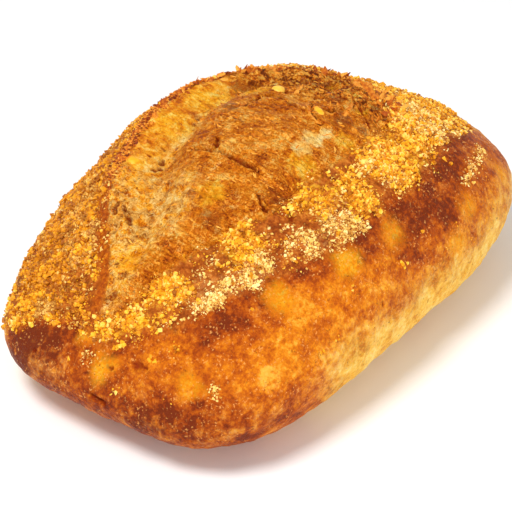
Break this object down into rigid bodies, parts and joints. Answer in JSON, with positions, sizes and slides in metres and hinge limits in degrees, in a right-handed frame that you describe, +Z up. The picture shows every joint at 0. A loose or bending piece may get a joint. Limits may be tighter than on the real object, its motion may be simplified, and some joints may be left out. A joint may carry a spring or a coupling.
{
  "type": "wholegrain bread loaf",
  "caption": "Rounded pillow-shaped loaf with a flat base, one long burst cut with a raised ear along its top, and a coating of corn grits.",
  "frame": {"origin": "middle of the footprint, on the surface that the loaf stands on", "axes": "+X along the loaf towards its rounder, wider end, +Y towards the raised ear of the burst cut, +Z up"},
  "size_m": [0.2306, 0.1564, 0.0849],
  "materials": {
    "crust": "baked bread crust, matt with a faint sheen",
    "corn_grits": "toasted golden corn grits, satin",
    "floured_grits": "pale floured grits, matt"
  },
  "bodies": {
    "root": {"loaf": "crust"}
  },
  "joints": []
}
